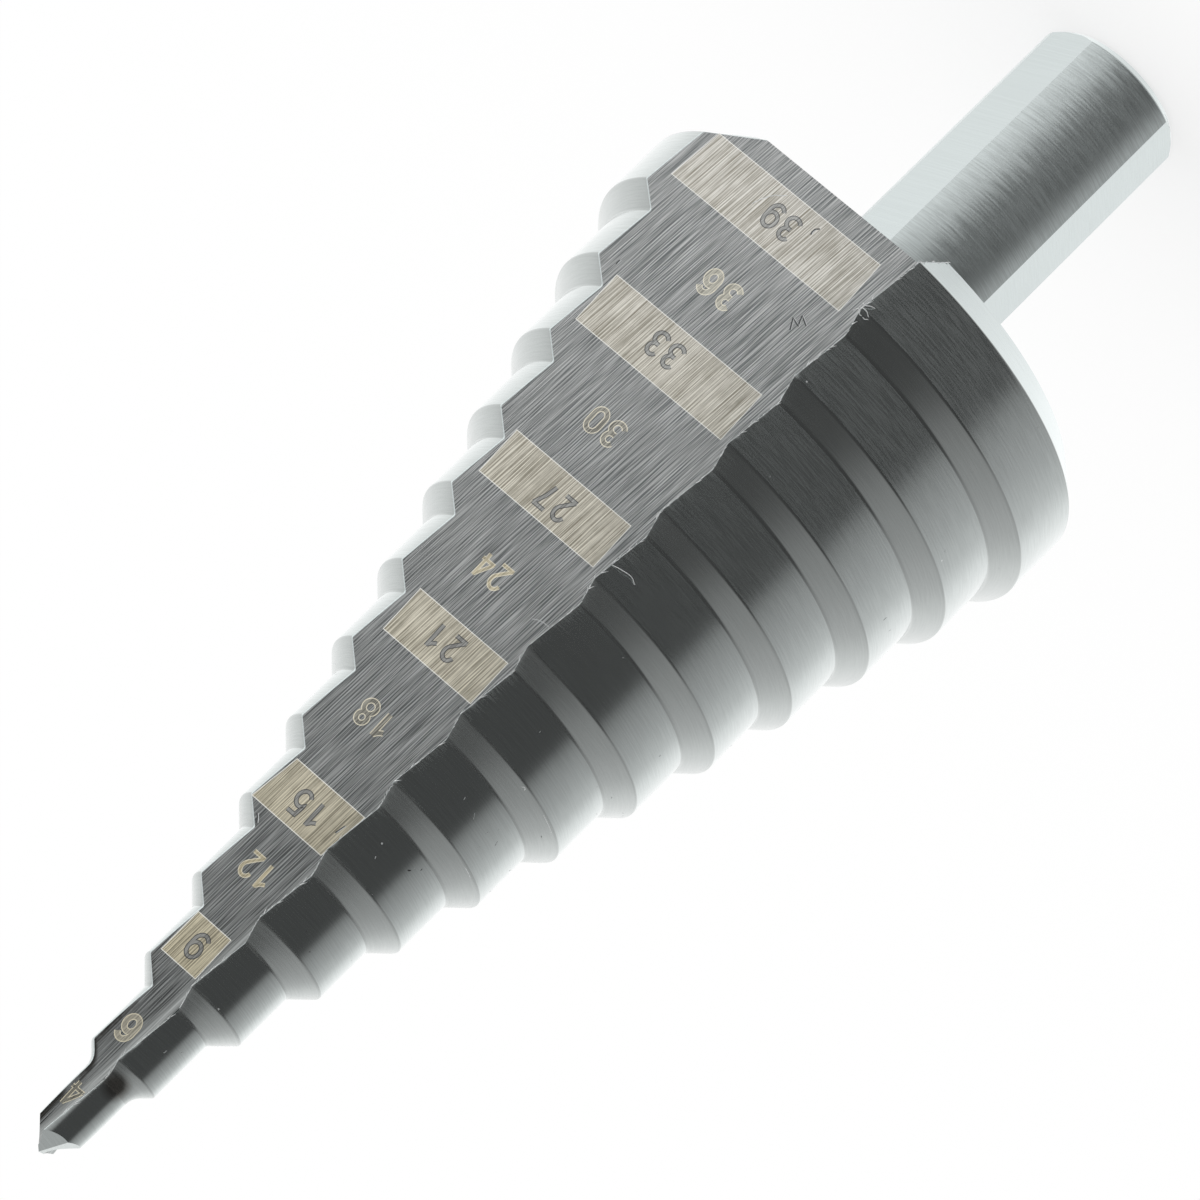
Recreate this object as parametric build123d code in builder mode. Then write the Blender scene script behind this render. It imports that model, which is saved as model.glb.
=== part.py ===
from build123d import *
import os
from math import cos, radians, sin, tan

# Step drill for sheet metal, made in one piece, in millimetres.
# It stands on its shank with the tip up. The origin is the centre of the shank's end face and
# Z is the drill's axis. It cuts when it turns clockwise, seen from the shank, and the cutting
# edges of its steps lie close to the plane X = 0, on +Y for one lobe and on -Y for the other.

# Cutting diameters
tip_diameter = 4.0
first_diameter = 6.0
diameter_rise = 3.0
step_count = 12

# Lengths along the axis: shank, widest step, each step above it, and tip
shank_length = 24.6
widest_step_length = 8.8
step_length = 6.0
tip_length = 6.6

# Form of the steps
bevel_angle = 45.0
bevel_root_radius = 0.3
first_root_radius = 1.5
rear_chamfer = 2.3
land_relief_offset = 0.2
lobe_border_angle = 126.0

# Flutes. The root is where the cutting face and the numbered face would meet without their
# radius, once at the tip's height and once at the steps' back face. The flute's angle and
# its root radius are measured square to the line between these two places.
cutting_face_angle = 113.5
flute_angle = 80.5
flute_root_radius = 1.2
root_x_at_tip = 0.13
root_y_at_tip = -0.39
root_x_at_back = 2.23
root_y_at_back = 14.12
flute_runout = 5.0

# Point: the way that each facet falls away, and how steeply
flank_direction = 60.0
flank_slope = 36.5
heel_direction = 14.0
heel_slope = 47.0

# Shank with three flats
shank_diameter = 12.0
shank_chamfer = 0.65
flat_distance = 5.6
flat_count = 3
first_flat_angle = 24.0

lobe_count = 2
lobe_pitch = 360 / lobe_count
widest_diameter = first_diameter + (step_count - 1) * diameter_rise
rises_length = (step_count - 1) * step_length
total_length = shank_length + widest_step_length + rises_length + tip_length


# One lobe: the stepped outline, turned about an axis that is set towards the cutting edge, so
# that the land falls away behind that edge, and cut in half along the middle of the flutes
with BuildPart() as lobe:
    outline = [
        (land_relief_offset, shank_length),
        (widest_diameter / 2 - rear_chamfer, shank_length),
        (widest_diameter / 2, shank_length + rear_chamfer),
    ]
    corner_radii = [0, 0, 0]
    for step in reversed(range(step_count)):
        outer_radius = (first_diameter + step * diameter_rise) / 2
        inner_radius = outer_radius - diameter_rise / 2 if step else tip_diameter / 2
        root_height = total_length - tip_length - step * step_length
        bevel_height = (outer_radius - inner_radius) / tan(radians(bevel_angle))
        outline.append((outer_radius, root_height - bevel_height))
        outline.append((inner_radius, root_height))
        corner_radii += [0, bevel_root_radius if step else first_root_radius]
    outline += [(tip_diameter / 2, total_length), (land_relief_offset, total_length)]
    corner_radii += [0, 0]
    with BuildSketch(Plane.YZ):
        with BuildLine():
            FilletPolyline(*outline, radius=corner_radii, close=True)
        make_face()
    revolve(axis=Axis((0, land_relief_offset, 0), (0, 0, 1)))
    border_normal = Vector(0, 1).rotate(Axis.Z, lobe_border_angle)
    split(bisect_by=Plane(origin=(0, 0, 0), z_dir=border_normal), keep=Keep.BOTTOM)

# One flute: a notch with a rounded root, along a line that leaves a web which thickens towards
# the shank, and which runs out through the back face of the steps
with BuildPart() as flute:
    root_at_tip = Vector(root_x_at_tip, root_y_at_tip, total_length)
    root_at_back = Vector(root_x_at_back, root_y_at_back, shank_length)
    root_line = root_at_tip - root_at_back
    notch_plane = Plane(
        origin=root_at_tip + root_line.normalized() * flute_runout,
        x_dir=Vector(1, 0).rotate(Axis.Z, cutting_face_angle),
        z_dir=root_line,
    )
    cutting_side = Vector(widest_diameter, 0)
    numbered_side = cutting_side.rotate(Axis.Z, flute_angle)
    with BuildSketch(notch_plane) as notch:
        with BuildLine():
            Polyline((0, 0), cutting_side, cutting_side + numbered_side, numbered_side, close=True)
        make_face()
        fillet(notch.vertices().sort_by_distance((0, 0))[0], radius=flute_root_radius)
    extrude(amount=-(root_line.length + 2 * flute_runout))

# Round shank with three ground flats
with BuildPart() as shank:
    with BuildSketch(Plane.XY):
        Circle(shank_diameter / 2)
    extrude(amount=shank_length + widest_step_length)
    chamfer(shank.faces().sort_by(Axis.Z)[0].edges(), length=shank_chamfer)
    with BuildSketch(Plane.XY):
        RegularPolygon(
            radius=flat_distance,
            side_count=flat_count,
            major_radius=False,
            rotation=first_flat_angle + 180 / flat_count,
        )
    extrude(amount=shank_length + widest_step_length, mode=Mode.INTERSECT)

# The whole drill
with BuildPart() as step_drill:
    with PolarLocations(0, lobe_count):
        add(lobe.part)
    add(shank.part)
    with PolarLocations(0, lobe_count):
        add(flute.part, mode=Mode.SUBTRACT)
    for lobe_number in range(lobe_count):
        for direction, slope in ((flank_direction, flank_slope), (heel_direction, heel_slope)):
            fall = Vector(sin(radians(slope)), 0, cos(radians(slope)))
            facet_normal = fall.rotate(Axis.Z, direction + lobe_number * lobe_pitch)
            split(bisect_by=Plane(origin=(0, 0, total_length), z_dir=facet_normal), keep=Keep.BOTTOM)

step_drill.part.label = "step_drill"
os.makedirs("parts", exist_ok=True)
export_step(step_drill.part, "parts/step_drill.step")
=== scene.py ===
import math
import random
from collections import namedtuple

import bmesh
import bpy
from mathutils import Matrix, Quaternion, Vector, noise


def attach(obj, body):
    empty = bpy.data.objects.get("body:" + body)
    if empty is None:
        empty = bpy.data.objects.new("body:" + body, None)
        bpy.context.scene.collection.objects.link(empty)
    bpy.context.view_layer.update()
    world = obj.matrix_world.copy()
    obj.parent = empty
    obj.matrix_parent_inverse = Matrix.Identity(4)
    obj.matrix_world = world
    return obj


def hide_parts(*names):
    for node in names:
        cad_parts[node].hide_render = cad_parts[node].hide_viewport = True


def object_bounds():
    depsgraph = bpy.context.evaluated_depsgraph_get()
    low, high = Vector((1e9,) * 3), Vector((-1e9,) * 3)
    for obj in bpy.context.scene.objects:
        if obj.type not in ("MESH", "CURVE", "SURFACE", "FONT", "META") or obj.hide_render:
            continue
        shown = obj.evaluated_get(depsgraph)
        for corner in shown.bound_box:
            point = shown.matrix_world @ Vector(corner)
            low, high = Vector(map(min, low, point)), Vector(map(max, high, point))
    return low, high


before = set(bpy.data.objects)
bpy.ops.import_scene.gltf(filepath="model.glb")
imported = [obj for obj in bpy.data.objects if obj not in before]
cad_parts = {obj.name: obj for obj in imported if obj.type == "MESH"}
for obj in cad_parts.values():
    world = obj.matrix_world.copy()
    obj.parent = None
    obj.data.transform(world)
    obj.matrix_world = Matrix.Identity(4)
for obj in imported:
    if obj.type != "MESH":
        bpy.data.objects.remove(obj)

# Step drill, dressed for close views. Sizes are in millimetres and angles in degrees, and points
# become metres when a mesh is made. Height is measured from the shank's end, depth from the tip.

cad_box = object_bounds()
mm = 0.001
total_length = cad_box[1].z / mm

# Outline of the steps
tip_radius = 2.0
first_radius = 3.0
radius_rise = 1.5
step_count = 12
tip_length = 6.6
step_length = 6.0
widest_step_length = 8.8
rear_chamfer = 2.3
bevel_angle = 45.0
bevel_root_radius = 0.3
first_root_radius = 1.5
land_relief_offset = 0.2
axial_relief = 0.4
widest_radius = first_radius + (step_count - 1) * radius_rise
steps_end = tip_length + (step_count - 1) * step_length + widest_step_length
shank_length = total_length - steps_end

# Flutes: each wall is a plane, given by the way that it faces and by its distance from the axis,
# which changes evenly with the depth
numbered_wall_facing = 104.72
numbered_wall_start = -0.4094
numbered_wall_rise = 0.1659
cutting_wall_facing = 203.48
cutting_wall_start = 0.0361
cutting_wall_rise = -0.0947
flute_root_radius = 1.2

# Shank
shank_radius = 6.0
shank_chamfer = 0.65
flat_distance = 5.6
flat_facings = (264.0, 144.0, 24.0)

# Point: the way that each facet falls away, and how steeply
facets = ((60.0, 36.5), (240.0, 36.5), (14.0, 47.0), (194.0, 47.0))

# Fineness of the mesh, and the size of ground corners. The blank reaches a little beyond the tip
# before its point is ground.
land_columns = 60
root_columns = 8
flat_columns = 6
strip_columns = 22
wall_shares = (0.1, 0.4, 0.7)
corner_pieces = 4
edge_size = 0.05
heel_size = 0.08
corner_size = 0.09
support_gap = 0.07
row_gap = 0.3
blank_end = -0.4
chamfer_pieces = 4
worn_back = 0.05
merge_distance = 1e-5
same_place = 1e-6
angle_rounds = 5

# What a face of the body can be, in the order of the body's materials
regions = (
    "wall", "root", "face", "land", "bevel", "edge", "chamfer",
    "back", "strip", "flat", "rim", "end", "facet")
flat_regions = ("wall", "face", "back", "flat", "end", "facet")


def turned(angle, length=1.0):
    """The point at that angle round the axis, and that far from it."""
    return Vector((math.cos(math.radians(angle)), math.sin(math.radians(angle)))) * length


numbered_normal = turned(numbered_wall_facing)
numbered_across = turned(numbered_wall_facing + 90)
cutting_normal = turned(cutting_wall_facing)
cutting_across = turned(cutting_wall_facing - 90)


def numbered_distance(depth):
    return numbered_wall_start + numbered_wall_rise * depth


def cutting_distance(depth):
    return cutting_wall_start + cutting_wall_rise * depth


def root_centre(depth):
    """Centre of the round root of the flute in view: as far from both walls as its radius."""
    from_numbered = numbered_distance(depth) + flute_root_radius
    from_cutting = cutting_distance(depth) + flute_root_radius
    turn = numbered_normal.x * cutting_normal.y - numbered_normal.y * cutting_normal.x
    return Vector((
        (from_numbered * cutting_normal.y - from_cutting * numbered_normal.y) / turn,
        (from_cutting * numbered_normal.x - from_numbered * cutting_normal.x) / turn,
    ))


root_step = root_centre(1.0) - root_centre(0.0)
flute_line = Vector((-root_step.x, -root_step.y, 1.0)).normalized()

# The grinding lines of the numbered wall fan out a little about the flute's line
fan_at_tip = 1.6
fan_at_back = -2.4
numbered_plane = Vector((numbered_normal.x, numbered_normal.y, numbered_wall_rise)).normalized()
wall_across = numbered_plane.cross(flute_line)

Row = namedtuple("Row", "radius depth band")
Place = namedtuple("Place", "point depth region arc away")
far_from_edge = 20.0


def smooth_corner(before, corner, after, size):
    """Points of a round corner between two straight stretches, which takes size from each."""
    start = corner + (before - corner).normalized() * size
    end = corner + (after - corner).normalized() * size
    shares = [i / corner_pieces for i in range(corner_pieces + 1)]
    return [start * (1 - u) ** 2 + corner * 2 * u * (1 - u) + end * u ** 2 for u in shares]


def outline_corners():
    """Corners of the stepped outline as (radius, depth), each with the size of its rounding."""
    corners = [(Vector((tip_radius, blank_end)), 0.0)]
    for step in range(step_count):
        outer = first_radius + step * radius_rise
        inner = outer - radius_rise if step else tip_radius
        root = tip_length + step * step_length
        blend = bevel_root_radius if step else first_root_radius
        corners.append((Vector((inner, root)), blend * math.tan(math.radians(bevel_angle / 2))))
        corners.append((Vector((outer, root + outer - inner)), corner_size))
    corners.append((Vector((widest_radius, steps_end - rear_chamfer)), corner_size))
    corners.append((Vector((widest_radius - rear_chamfer, steps_end)), 0.0))
    return corners


def outline_rows():
    """Rows of the steps' mesh from the tip to the back face. A row's band says what lies between
    it and the next row."""
    corners = outline_corners()
    rows = []
    for i, (corner, size) in enumerate(corners):
        points = [corner]
        if size:
            points = smooth_corner(corners[i - 1][0], corner, corners[i + 1][0], size)
        if rows:
            last = Vector((rows[-1].radius, rows[-1].depth))
            stretch = points[0] - last
            band = "bevel" if abs(stretch.x) > 0.01 else "land"
            if i == len(corners) - 1:
                band = "chamfer"
            gap = support_gap / stretch.length
            count = 1 if band != "land" else max(1, round(stretch.length / row_gap))
            rows[-1] = rows[-1]._replace(band=band)
            for k in range(count + 1):
                point = last + stretch * (gap + (1 - 2 * gap) * k / count)
                rows.append(Row(point.x, point.y, band))
        for point in points:
            rows.append(Row(point.x, point.y, "bevel"))
    return rows


def relief_share(depth):
    """How much of the axial relief is there at that depth: none at the tip and the back face."""
    opening = min(1.0, max(0.0, depth / tip_length))
    closing = min(1.0, max(0.0, (steps_end - rear_chamfer - depth) / step_length))
    return opening * closing


def land_reach(radius, angle):
    """Distance of the land from the axis: its circle is set towards the cutting edge."""
    across = math.cos(math.radians(angle)) * land_relief_offset
    along = math.sin(math.radians(angle)) * land_relief_offset
    return along + math.sqrt((radius - land_relief_offset) ** 2 - across ** 2)


def outline_radius(depth):
    """Radius of the stepped outline at that depth."""
    step = math.floor((depth - tip_length) / step_length)
    if step < 0:
        return tip_radius
    step = min(step, step_count - 1)
    outer = first_radius + step * radius_rise
    inner = outer - radius_rise if step else tip_radius
    return min(outer, inner + depth - tip_length - step * step_length)


def land_point(angle, height, lift=0.0):
    """A place on the lands or the bevels, lifted off them, in metres."""
    flat = turned(angle, land_reach(outline_radius(total_length - height), angle) + lift)
    return Vector((flat.x, flat.y, height)) * mm


def edge_wear(depth):
    """How far the cutting edge is worn back, here and there."""
    slow = noise.noise(Vector((depth * 1.3, 0, 0)))
    quick = noise.noise(Vector((depth * 6, 5, 0)))
    return worn_back * max(0.0, slow + 0.3 * quick)


def half_section(row):
    """One lobe's share of a row, from its cutting edge over the land and the heel, and then down
    and up the walls of the next flute. A place's region says what lies between it and the next."""
    lag = axial_relief * relief_share(row.depth)
    edge_depth = row.depth - lag / 2
    heel_depth = row.depth + lag / 2
    edge_angle = cutting_wall_facing - 90
    heel_angle = numbered_wall_facing - 120
    for _ in range(angle_rounds):
        reach = land_reach(row.radius, edge_angle)
        edge_angle = cutting_wall_facing - math.degrees(math.acos(cutting_distance(edge_depth) / reach))
        reach = land_reach(row.radius, heel_angle)
        turn = math.degrees(math.acos(numbered_distance(heel_depth) / reach))
        heel_angle = numbered_wall_facing - 180 + turn
    edge = turned(edge_angle, land_reach(row.radius, edge_angle) - edge_wear(edge_depth))
    heel = turned(heel_angle, land_reach(row.radius, heel_angle))
    centre = -root_centre(edge_depth)
    wall_foot = centre + numbered_normal * flute_root_radius
    face_foot = centre + cutting_normal * flute_root_radius
    wall = wall_foot - heel
    face = -edge - face_foot
    places = []

    def put(point, depth, region, arc=0.0):
        start = heel if region == "wall" else edge
        places.append(Place(point, depth, region, arc, (point - start).length))

    for point in smooth_corner(edge - cutting_across, edge, edge + turned(edge_angle - 90), edge_size):
        put(point, edge_depth, "edge", edge_angle)
    places[-1] = places[-1]._replace(region="land")
    start = edge_angle - math.degrees((edge_size + support_gap) / row.radius)
    end = heel_angle + math.degrees((heel_size + support_gap) / row.radius)
    for k in range(land_columns + 1):
        angle = start + (end - start) * k / land_columns
        share = (edge_angle - angle) / (edge_angle - heel_angle)
        put(turned(angle, land_reach(row.radius, angle)), edge_depth + lag * share, "land", angle)
    for point in smooth_corner(heel + turned(heel_angle + 90), heel, heel + wall, heel_size):
        put(point, heel_depth, "edge", heel_angle)
    places[-1] = places[-1]._replace(region="wall", away=0.0)
    for share in wall_shares:
        put(heel + wall * share, heel_depth - lag * share, "wall")
    for k in range(root_columns + 1):
        angle = numbered_wall_facing + (cutting_wall_facing - numbered_wall_facing) * k / root_columns
        put(centre + turned(angle, flute_root_radius), edge_depth, "root", angle)
    places[-1] = places[-1]._replace(region="face")
    put(face_foot + face * 0.5, edge_depth, "face")
    return places


def shank_section(radius):
    """Places round the shank for a circle of that radius, cut by the flats."""
    half_flat = math.degrees(math.acos(min(1.0, flat_distance / radius)))
    places = []
    for facing in flat_facings:
        for k in range(flat_columns):
            angle = facing + half_flat * (1 - 2 * k / flat_columns)
            reach = min(radius, flat_distance / math.cos(math.radians(angle - facing)))
            places.append(Place(turned(angle, reach), 0, "flat", angle, far_from_edge))
        start = facing - half_flat
        end = facing - 360 / len(flat_facings) + half_flat
        for k in range(strip_columns):
            angle = start + (end - start) * k / strip_columns
            places.append(Place(turned(angle, radius), 0, "strip", angle, far_from_edge))
    return places


class BodyMesh:
    """Collects the drill's faces with their regions, and with two maps in millimetres: grain runs
    across the grinding lines and along them, and from_edge holds the distance from the cutting
    edge on the lands, or from the heel on the numbered wall."""

    def __init__(self):
        self.bm = bmesh.new()
        self.grain = self.bm.loops.layers.uv.new("grain")
        self.from_edge = self.bm.loops.layers.uv.new("from_edge")

    def loop_of(self, places, height=None):
        verts = []
        for place in places:
            z = total_length - place.depth if height is None else height
            verts.append(self.bm.verts.new((place.point.x, place.point.y, z)))
        return verts

    def face(self, verts, region, grain_places=None, edge_distances=None):
        self.finish_face(self.bm.faces.new(verts), region, grain_places, edge_distances)

    def finish_face(self, made, region, grain_places=None, edge_distances=None):
        made.material_index = regions.index(region)
        made.smooth = region not in flat_regions
        for i, corner in enumerate(made.loops):
            distance = edge_distances[i] if edge_distances else far_from_edge
            corner[self.from_edge].uv = (distance, 0.0)
            if grain_places:
                corner[self.grain].uv = grain_places[i]
            else:
                corner[self.grain].uv = flat_grain(region, corner.vert.co)

    def finish_all(self, parts, region):
        for part in parts:
            if isinstance(part, bmesh.types.BMFace):
                self.finish_face(part, region)


def wall_grain(point):
    """Place of a point of the numbered wall across its grinding lines and along them."""
    along = flute_line.dot(point)
    from_back = along - shank_length
    turn_at_back = math.radians(fan_at_back)
    turn_rise = math.radians(fan_at_tip - fan_at_back) / (total_length - shank_length)
    fanned = (turn_at_back + turn_rise * from_back / 2) * from_back
    return Vector((wall_across.dot(point) - fanned, along))


def flat_grain(region, point):
    """Place of the grinding lines on a flat face."""
    if region == "wall":
        return wall_grain(point)
    if region == "face":
        return Vector((cutting_across.dot(point.xy), flute_line.dot(point)))
    if region in ("back", "end"):
        angle = math.atan2(point.y, point.x)
        return Vector((point.xy.length, angle * point.xy.length))
    if region == "flat":
        return Vector((point.z, point.x - point.y))
    return Vector((point.z, point.x + point.y))


def add_steps(body):
    """The steps of both lobes, with the flutes between them. Gives the loop at the back face."""
    rows = outline_rows()
    sections = []
    for row in rows:
        half = half_section(row)
        sections.append(half + [Place(-p.point, p.depth, p.region, p.arc + 180, p.away) for p in half])
    loops = [body.loop_of(section) for section in sections]
    slant = 0.0
    for i, row in enumerate(rows[:-1]):
        step = math.hypot(rows[i + 1].radius - row.radius, rows[i + 1].depth - row.depth)
        for j, place in enumerate(sections[i]):
            k = (j + 1) % len(sections[i])
            region = row.band if place.region == "land" else place.region
            around = [(i, j), (i, k), (i + 1, k), (i + 1, j)]
            grain = None
            if region in ("land", "bevel", "edge", "chamfer"):
                grain = []
                for a, b in around:
                    along = math.radians(sections[a][b].arc) * rows[a].radius
                    grain.append(Vector((slant + (step if a > i else 0.0), along)))
            elif region == "root":
                grain = []
                for a, b in around:
                    across = math.radians(sections[a][b].arc) * flute_root_radius
                    grain.append(Vector((across, flute_line.dot(loops[a][b].co))))
            away = [sections[a][b].away for a, b in around]
            if place.region == "wall" and sections[i][k].region == "root":
                away = [place.away, far_from_edge, far_from_edge, sections[i + 1][j].away]
            body.face([loops[a][b] for a, b in around], region, grain, away)
        slant += step
    body.face(loops[0], "facet")
    return loops[-1]


def add_shank(body):
    """The shank down to its end. Gives the loop where it leaves the back face."""
    rows = [(shank_radius, shank_length), (shank_radius, shank_chamfer + support_gap)]
    for k in range(chamfer_pieces + 1):
        cut = shank_chamfer * k / chamfer_pieces
        rows.append((shank_radius - cut, shank_chamfer - cut))
    sections = [shank_section(radius) for radius, _ in rows]
    loops = [body.loop_of(section, height) for section, (_, height) in zip(sections, rows)]
    for i, (_, low) in enumerate(rows[1:]):
        for j, place in enumerate(sections[i]):
            k = (j + 1) % len(sections[i])
            region = "rim" if place.region == "strip" and low < shank_chamfer else place.region
            around = [(i, j), (i, k), (i + 1, k), (i + 1, j)]
            grain = None
            if region != "flat":
                grain = []
                for a, b in around:
                    grain.append(Vector((rows[a][1], math.radians(sections[a][b].arc) * shank_radius)))
            body.face([loops[a][b] for a, b in around], region, grain)
    body.face(loops[-1], "end")
    return loops[0]


def add_back_face(body, rims):
    """Fills the ring between the steps and the shank."""
    edges = []
    for loop in rims:
        edges += [body.bm.edges.get(pair) for pair in zip(loop, loop[1:] + loop[:1])]
    filled = bmesh.ops.triangle_fill(body.bm, edges=edges, use_beauty=True, use_dissolve=False)
    body.finish_all(filled["geom"], "back")


def grind_point(body):
    """Cuts the facets of the point and closes each cut."""
    bm = body.bm
    for direction, slope in facets:
        normal = turned(direction, math.sin(math.radians(slope))).to_3d()
        normal.z = math.cos(math.radians(slope))
        cut = bmesh.ops.bisect_plane(
            bm, geom=bm.verts[:] + bm.edges[:] + bm.faces[:], dist=same_place,
            plane_co=(0, 0, total_length), plane_no=normal, clear_outer=True)
        rim = [part for part in cut["geom_cut"] if isinstance(part, bmesh.types.BMEdge)]
        body.finish_all(bmesh.ops.contextual_create(bm, geom=rim)["faces"], "facet")


def linked(name, data):
    """A new object in the scene, for a mesh or a camera."""
    made = bpy.data.objects.new(name, data)
    bpy.context.scene.collection.objects.link(made)
    return made


def piece_from(name, bm):
    """Turns a mesh in millimetres into a piece in metres."""
    bmesh.ops.scale(bm, vec=(mm, mm, mm), verts=bm.verts[:])
    mesh = bpy.data.meshes.new(name)
    bm.to_mesh(mesh)
    bm.free()
    return linked(name, mesh)


def drill_body():
    """The whole drill as one closed mesh."""
    body = BodyMesh()
    add_back_face(body, [add_steps(body), add_shank(body)])
    grind_point(body)
    bmesh.ops.remove_doubles(body.bm, verts=body.bm.verts[:], dist=merge_distance)
    bmesh.ops.recalc_face_normals(body.bm, faces=body.bm.faces[:])
    for edge in body.bm.edges:
        if any(not made.smooth for made in edge.link_faces):
            edge.smooth = False
    return piece_from("drill_body", body.bm)


class Graph:
    """Adds nodes to a material, a group or the world. What is given for a socket is either a
    value or the output that feeds it."""

    def __init__(self, tree):
        self.tree = tree

    def feed(self, socket, value):
        if isinstance(value, bpy.types.NodeSocket):
            self.tree.links.new(value, socket)
        else:
            socket.default_value = value

    def add(self, kind, sockets=None, output=0, **settings):
        node = self.tree.nodes.new(kind)
        for name, value in settings.items():
            setattr(node, name, value)
        for name, value in (sockets or {}).items():
            self.feed(node.inputs[name], value)
        return node.outputs[output] if node.outputs else node

    def math(self, operation, first, second=0.0, third=0.0):
        return self.add("ShaderNodeMath", {0: first, 1: second, 2: third}, operation=operation)

    def between(self, value, low, high, new_low=0.0, new_high=1.0):
        """Stretches low to high into new_low to new_high, and stops at both."""
        ends = {"From Min": low, "From Max": high, "To Min": new_low, "To Max": new_high}
        return self.add("ShaderNodeMapRange", {"Value": value, **ends})

    def blend(self, share, first, second):
        """A colour between two colours."""
        return self.add("ShaderNodeMix", {0: share, 6: first, 7: second}, 2, data_type="RGBA")

    def vector_math(self, operation, first, second, output="Vector"):
        return self.add("ShaderNodeVectorMath", {0: first, 1: second}, output, operation=operation)

    def scaled(self, vector, factor):
        return self.add("ShaderNodeVectorMath", {0: vector, "Scale": factor}, operation="SCALE")

    def object_place(self):
        return self.add("ShaderNodeTexCoord", output="Object")

    def part(self, vector, axis):
        return self.add("ShaderNodeSeparateXYZ", {0: vector}, axis)

    def along_lines(self, across, along):
        """Noise at a place that is given across the grinding lines and along them."""
        point = self.add("ShaderNodeCombineXYZ", {"X": across, "Y": along})
        sockets = {"Vector": point, "Scale": 1.0, "Detail": 1.0, "Roughness": 0.5}
        return self.add("ShaderNodeTexNoise", sockets, noise_dimensions="2D")


def node_group(name, inputs, output, tree_kind="ShaderNodeTree", output_kind="Float"):
    """An empty group of nodes. Each input is given its kind, or the number that it starts from."""
    tree = bpy.data.node_groups.new(name, tree_kind)
    for socket_name, given in inputs.items():
        kind = given if isinstance(given, str) else "Int" if isinstance(given, int) else "Float"
        socket = tree.interface.new_socket(socket_name, in_out="INPUT", socket_type="NodeSocket" + kind)
        if kind != given:
            socket.default_value = given
    tree.interface.new_socket(output, in_out="OUTPUT", socket_type="NodeSocket" + output_kind)
    return tree, tree.nodes.new("NodeGroupInput").outputs, tree.nodes.new("NodeGroupOutput").inputs


def make_grinding_lines():
    """Fine parallel lines, as a grinding wheel leaves them. Place runs across and along them."""
    sizes = {"Place": "Vector", "Width": 0.1, "Length": 3.0}
    tree, given, result = node_group("grinding_lines", sizes, "Lines")
    graph = Graph(tree)
    across = graph.math("DIVIDE", graph.part(given["Place"], "X"), given["Width"])
    along = graph.math("DIVIDE", graph.part(given["Place"], "Y"), given["Length"])
    tree.links.new(graph.between(graph.along_lines(across, along), 0.34, 0.66), result["Lines"])
    return tree


def make_grooves():
    """Evenly spaced lines that wander a little. Place runs across and along them."""
    sizes = {"Place": "Vector", "Spacing": 0.2, "Length": 8.0}
    tree, given, result = node_group("grooves", sizes, "Grooves")
    graph = Graph(tree)
    across = graph.math("DIVIDE", graph.part(given["Place"], "X"), given["Spacing"])
    along = graph.math("DIVIDE", graph.part(given["Place"], "Y"), given["Length"])
    wander = graph.along_lines(graph.math("MULTIPLY", across, 0.3), along)
    phase = graph.math("MULTIPLY_ADD", wander, 1.3, across)
    wave = graph.math("SINE", graph.math("MULTIPLY", phase, 2 * math.pi))
    tree.links.new(graph.math("MULTIPLY_ADD", wave, 0.5, 0.5), result["Grooves"])
    return tree


def make_pits():
    """Small round marks, scattered. Share says how many of the places have one."""
    tree, given, result = node_group("pits", {"Spacing": 2.0, "Size": 0.1, "Share": 0.3}, "Pits")
    graph = Graph(tree)
    scale = graph.math("DIVIDE", 1 / mm, given["Spacing"])
    point = graph.scaled(graph.object_place(), scale)
    cells = graph.add("ShaderNodeTexVoronoi", {"Vector": point, "Scale": 1.0})
    chosen = graph.math("LESS_THAN", graph.part(cells.node.outputs["Color"], "X"), given["Share"])
    reach = graph.math("DIVIDE", graph.math("MULTIPLY", cells, given["Spacing"]), given["Size"])
    pit = graph.math("MULTIPLY", graph.between(reach, 0.5, 1.0, 1.0, 0.0), chosen)
    tree.links.new(pit, result["Pits"])
    return tree


def make_tone():
    """Slow changes over the surface, from handling and wiping."""
    tree, given, result = node_group("tone", {"Spacing": 12.0}, "Tone")
    graph = Graph(tree)
    scale = graph.math("DIVIDE", 1 / mm, given["Spacing"])
    sockets = {"Vector": graph.object_place(), "Scale": scale, "Detail": 4.0, "Roughness": 0.6}
    clouds = graph.add("ShaderNodeTexNoise", sockets)
    tree.links.new(graph.between(clouds, 0.3, 0.7), result["Tone"])
    return tree


grinding_lines = make_grinding_lines()
grooves = make_grooves()
pits = make_pits()
tone = make_tone()


class Finish(Graph):
    """One material with its Principled shader."""

    def __init__(self, name, metallic=1.0):
        self.material = bpy.data.materials.new(name)
        self.material.use_nodes = True
        super().__init__(self.material.node_tree)
        self.shader = self.tree.nodes["Principled BSDF"]
        self.shader.inputs["Metallic"].default_value = metallic

    def place(self):
        return self.add("ShaderNodeUVMap", uv_map="grain")

    def group(self, tree, **sockets):
        return self.add("ShaderNodeGroup", sockets, node_tree=tree)

    def lines(self, width, length):
        return self.group(grinding_lines, Place=self.place(), Width=width, Length=length)

    def mottled(self, spacing, low, high):
        """A value that drifts between low and high over the surface."""
        return self.between(self.group(tone, Spacing=spacing), 0.0, 1.0, low, high)

    def bump(self, height, depth):
        """Presses height, from 0 to 1, into the surface: depth is in millimetres."""
        return self.add("ShaderNodeBump", {"Strength": 1.0, "Distance": depth * mm, "Height": height})

    def set(self, **sockets):
        for name, value in sockets.items():
            self.feed(self.shader.inputs[name.replace("_", " ")], value)
        return self.material


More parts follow.
